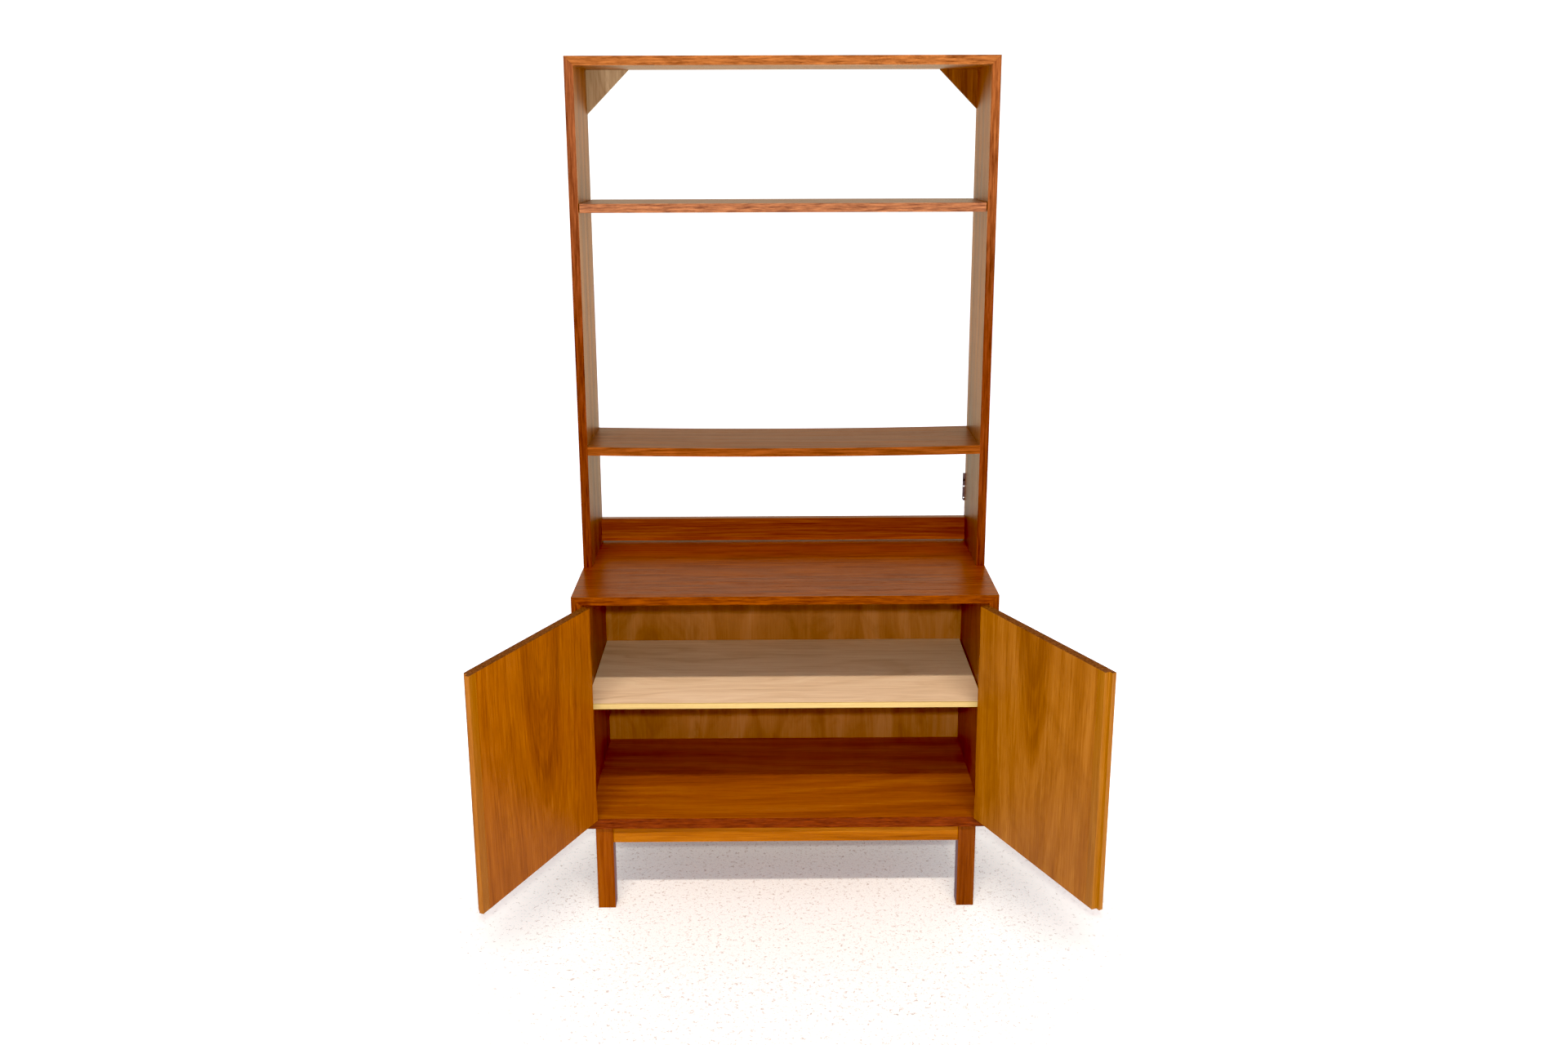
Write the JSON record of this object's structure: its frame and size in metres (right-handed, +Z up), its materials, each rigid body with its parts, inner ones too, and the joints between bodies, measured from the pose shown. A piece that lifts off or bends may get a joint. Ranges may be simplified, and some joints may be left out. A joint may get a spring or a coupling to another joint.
{
  "type": "bookcase cabinet",
  "caption": "Open bookcase with shelves standing on a low cabinet with hinged doors, an inner shelf and a frame of square legs.",
  "frame": {"origin": "on the floor, at the centre of the cabinet's footprint (not counting the open doors)", "axes": "+X to the right as seen from the front, +Y to the back (the doors open towards -Y), +Z up"},
  "size_m": [1.2023, 0.8531, 1.824],
  "materials": {
    "teak": "oiled teak veneer on board, satin",
    "dark_teak": "oiled teak, darker, satin",
    "teak_door": "oiled teak veneer with upright grain, satin",
    "solid_teak": "oiled solid teak, satin",
    "birch": "pale birch, matte lacquer",
    "plywood": "stained plywood, matte",
    "beech_dowel": "plain beech",
    "steel": "dull zinc-plated steel",
    "brass": "aged brass"
  },
  "bodies": {
    "case": {"bookcase_top": "teak", "bookcase_left_side": "teak", "bookcase_right_side": "teak", "bookcase_upper_shelf": "teak", "bookcase_lower_shelf": "teak", "bookcase_back_rail": "dark_teak", "left_corner_block": "dark_teak", "right_corner_block": "dark_teak", "upper_shelf_pegs": "steel", "lower_shelf_dowels": "beech_dowel", "back_rail_dowels": "beech_dowel", "bookcase_locating_dowels": "beech_dowel", "hanger_plate": "steel", "hanger_plate_screws": "steel", "cabinet_top": "teak", "cabinet_left_side": "teak", "cabinet_right_side": "teak", "cabinet_bottom": "dark_teak", "cabinet_back_panel": "plywood", "cabinet_shelf": "birch", "cabinet_shelf_lipping": "birch", "cabinet_shelf_pegs": "steel", "front_left_leg": "solid_teak", "front_right_leg": "solid_teak", "rear_left_leg": "solid_teak", "rear_right_leg": "solid_teak", "front_frame_rail": "solid_teak", "rear_frame_rail": "solid_teak", "left_frame_rail": "solid_teak", "right_frame_rail": "solid_teak", "leg_frame_screws": "steel", "cabinet_hinge_leaves": "brass", "cabinet_hinge_screws": "brass", "hinge_pins": "brass"},
    "left_door": {"left_door_panel": "teak_door", "left_door_meeting_strip": "solid_teak", "left_door_hinge_leaves": "brass", "left_door_hinge_screws": "brass"},
    "right_door": {"right_door_panel": "teak_door", "right_door_meeting_strip": "solid_teak", "right_door_hinge_leaves": "brass", "right_door_hinge_screws": "brass"}
  },
  "joints": [
    {"name": "left_door_hinge", "type": "hinge", "parent": "case", "child": "left_door", "pos_m": [-0.42925, -0.224, 0.466], "axis": [0, 0, -1], "range_deg": [-114, 56]},
    {"name": "right_door_hinge", "type": "hinge", "parent": "case", "child": "right_door", "pos_m": [0.42925, -0.224, 0.466], "axis": [0, 0, 1], "range_deg": [-114, 56]}
  ]
}
